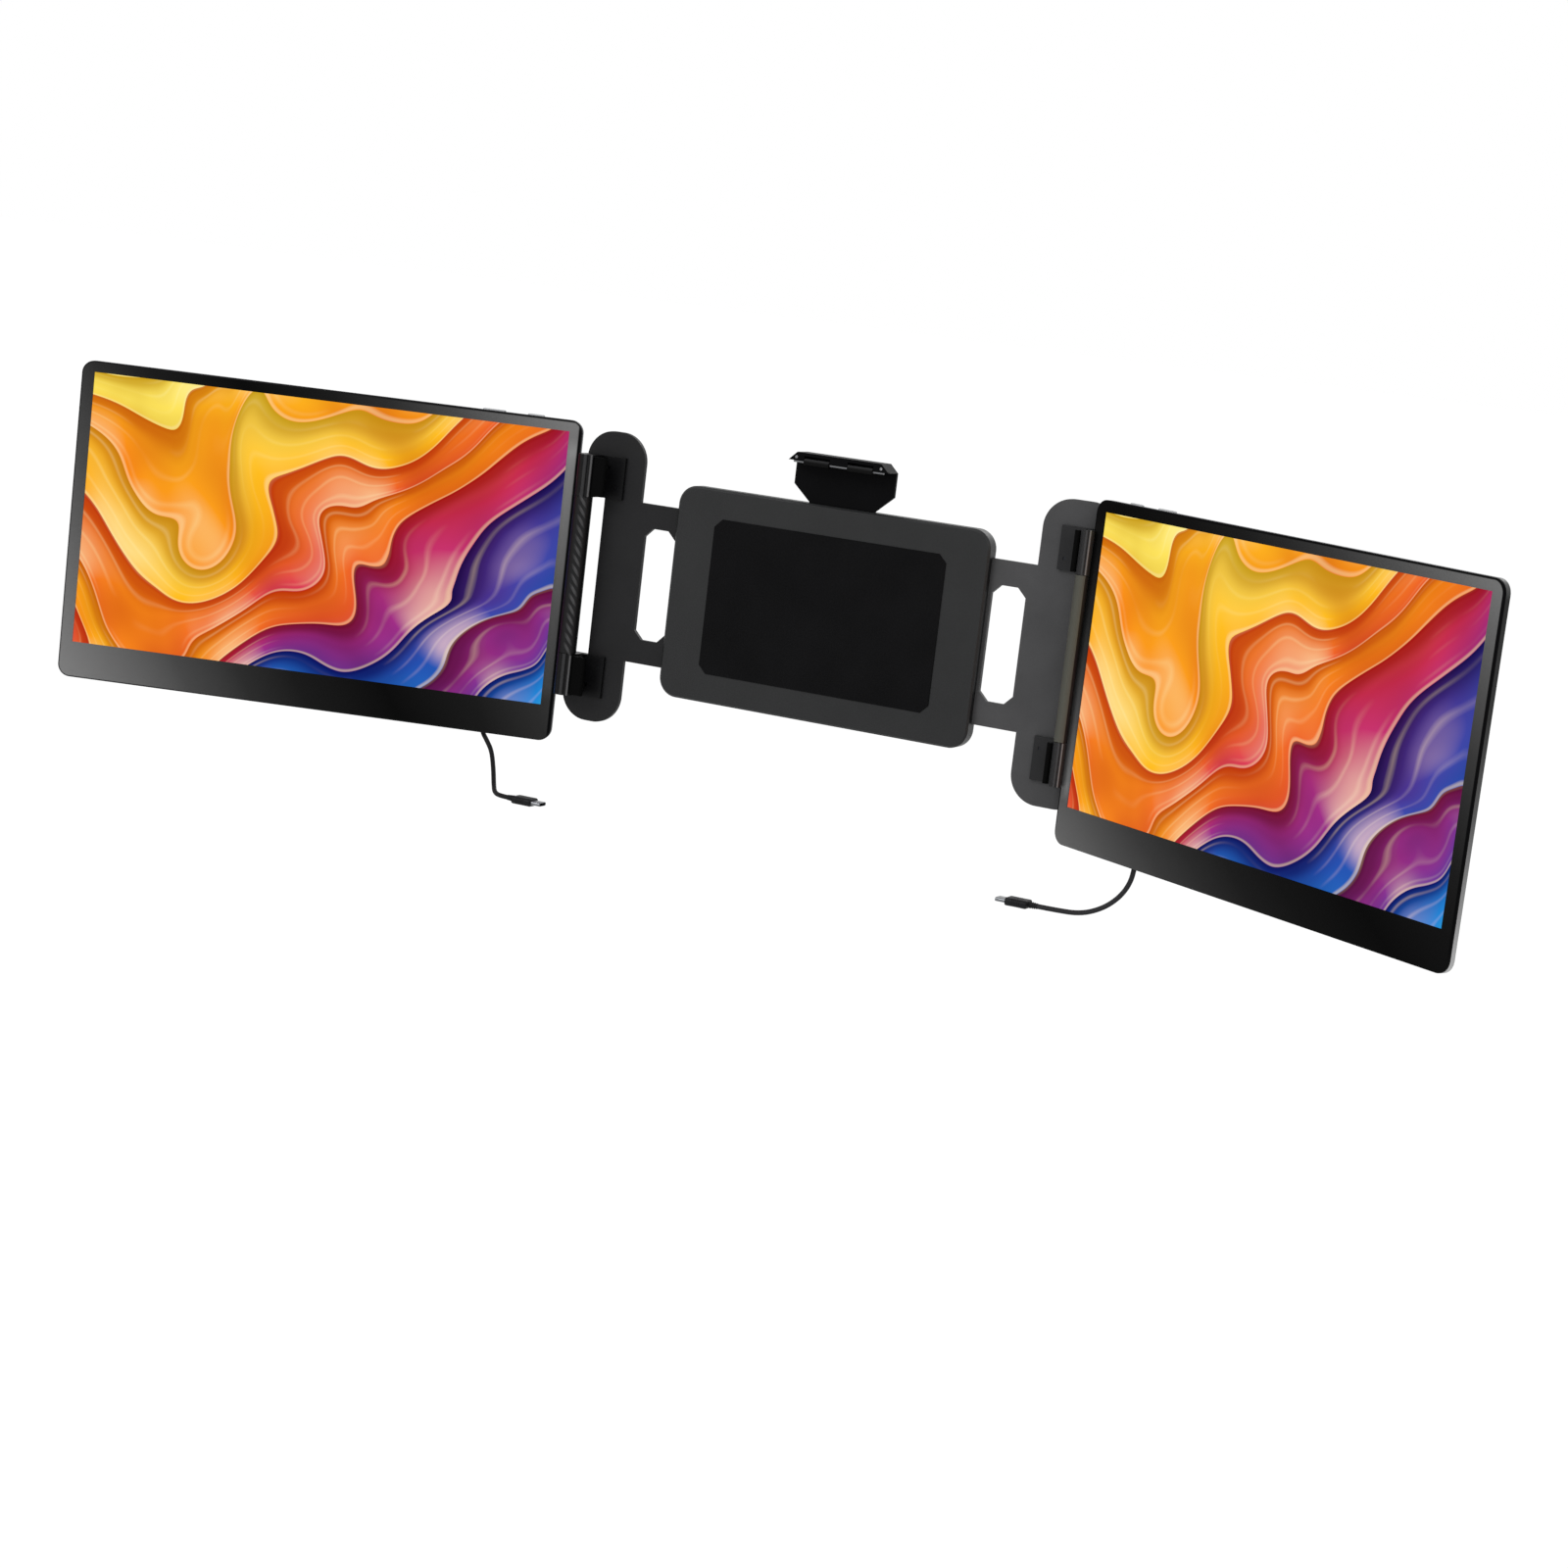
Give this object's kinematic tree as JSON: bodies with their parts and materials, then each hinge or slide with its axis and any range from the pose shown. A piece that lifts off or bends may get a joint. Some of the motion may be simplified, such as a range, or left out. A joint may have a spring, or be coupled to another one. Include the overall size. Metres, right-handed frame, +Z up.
{
  "type": "laptop screen extender",
  "caption": "Pair of slim portable monitors folding on hinge columns at the ends of a telescoping bracket that clamps behind a laptop's lid, with short cords and plugs.",
  "frame": {"origin": "centre of the bracket's pad face that the back of the laptop's lid rests against", "axes": "+X to the viewer's right along the bracket, -Y out of the pad face towards the viewer, +Z up along the lid"},
  "size_m": [0.9431, 0.182, 0.2398],
  "materials": {
    "housing": "matte",
    "clip": "satin",
    "rubber": "matte",
    "steel": "satin",
    "screw": "satin",
    "arm": "satin",
    "left_knuckle": "satin",
    "right_knuckle": "satin",
    "left_strip": "carbon-fibre patterned film",
    "right_strip": "smooth satin",
    "bezel": "satin",
    "screen": "lit display with a flowing gradient",
    "diffuser": "matte white",
    "board": "solder mask",
    "shell": "satin",
    "socket": "satin",
    "key": "satin",
    "plug": "satin",
    "cord": "matte"
  },
  "bodies": {
    "bracket": {"housing_front": "housing", "housing_back": "housing", "housing_screws": "screw", "guide_pins": "steel", "lid_pad": "rubber", "kickstand_pin": "steel"},
    "top_clip": {"clip_slider": "clip", "clip_claw": "clip"},
    "clip_roller_shaft": {"clip_rollers": "rubber", "clip_pin": "steel"},
    "kickstand": {"kickstand_leg": "housing", "kickstand_foot": "rubber"},
    "left_arm": {"left_arm_plate": "arm", "left_upper_knuckle": "left_knuckle", "left_lower_knuckle": "left_knuckle", "left_upper_claw": "rubber", "left_lower_claw": "rubber", "left_hinge_pin": "steel", "left_arm_screws": "screw"},
    "left_screen": {"left_front_frame": "bezel", "left_lcd_panel": "screen", "left_backlight": "diffuser", "left_driver_board": "board", "left_rear_cover": "shell", "left_usb_sockets": "socket", "left_hinge_leaf": "shell", "left_hinge_strip": "left_strip", "left_screen_screws": "screw", "left_monitor_plug": "plug", "left_cord": "cord", "left_laptop_plug": "plug"},
    "left_power_key": {"left_power_key": "key"},
    "left_menu_rocker": {"left_menu_rocker": "key"},
    "right_arm": {"right_arm_plate": "arm", "right_upper_knuckle": "right_knuckle", "right_lower_knuckle": "right_knuckle", "right_upper_claw": "rubber", "right_lower_claw": "rubber", "right_hinge_pin": "steel", "right_arm_screws": "screw"},
    "right_screen": {"right_front_frame": "bezel", "right_lcd_panel": "screen", "right_backlight": "diffuser", "right_driver_board": "board", "right_rear_cover": "shell", "right_usb_sockets": "socket", "right_hinge_leaf": "shell", "right_hinge_strip": "right_strip", "right_screen_screws": "screw", "right_monitor_plug": "plug", "right_cord": "cord", "right_laptop_plug": "plug"},
    "right_power_key": {"right_power_key": "key"},
    "right_menu_rocker": {"right_menu_rocker": "key"}
  },
  "joints": [
    {"name": "left_arm_slide", "type": "slide", "parent": "bracket", "child": "left_arm", "axis": [-1, 0, 0], "range_m": [0, 0.045]},
    {"name": "right_arm_slide", "type": "slide", "parent": "bracket", "child": "right_arm", "axis": [1, 0, 0], "range_m": [0, 0.045]},
    {"name": "left_screen_fold", "type": "hinge", "parent": "left_arm", "child": "left_screen", "pos_m": [-0.16855, -0.0055, 0], "axis": [0, 0, 1], "range_deg": [-19.1, 160.9]},
    {"name": "right_screen_fold", "type": "hinge", "parent": "right_arm", "child": "right_screen", "pos_m": [0.1668, -0.0055, 0], "axis": [0, 0, -1], "range_deg": [-30.2, 149.8]},
    {"name": "top_clip_slide", "type": "slide", "parent": "bracket", "child": "top_clip", "axis": [0, 0, 1], "range_m": [0, 0.03]},
    {"name": "clip_roller_turn", "type": "hinge", "parent": "top_clip", "child": "clip_roller_shaft", "pos_m": [0.0045, -0.00765, 0.0908], "axis": [1, 0, 0], "continuous": true},
    {"name": "kickstand_fold", "type": "hinge", "parent": "bracket", "child": "kickstand", "pos_m": [0, 0.01435, -0.055], "axis": [-1, 0, 0], "range_deg": [0, 150]},
    {"name": "left_power_press", "type": "slide", "parent": "left_screen", "child": "left_power_key", "axis": [0, 0, -1], "range_m": [0, 0.0006], "stiffness_N_per_m": 2500},
    {"name": "left_menu_rock", "type": "hinge", "parent": "left_screen", "child": "left_menu_rocker", "pos_m": [-0.2368, -0.0095, 0.0937], "axis": [0.3272, -0.9449, 0], "range_deg": [-4, 4], "stiffness_Nm_per_rad": 0.07},
    {"name": "right_power_press", "type": "slide", "parent": "right_screen", "child": "right_power_key", "axis": [0, 0, -1], "range_m": [0, 0.0006], "stiffness_N_per_m": 2500},
    {"name": "right_menu_rock", "type": "hinge", "parent": "right_screen", "child": "right_menu_rocker", "pos_m": [0.22083, -0.02717, 0.0937], "axis": [-0.503, -0.8643, 0], "range_deg": [-4, 4], "stiffness_Nm_per_rad": 0.07}
  ]
}
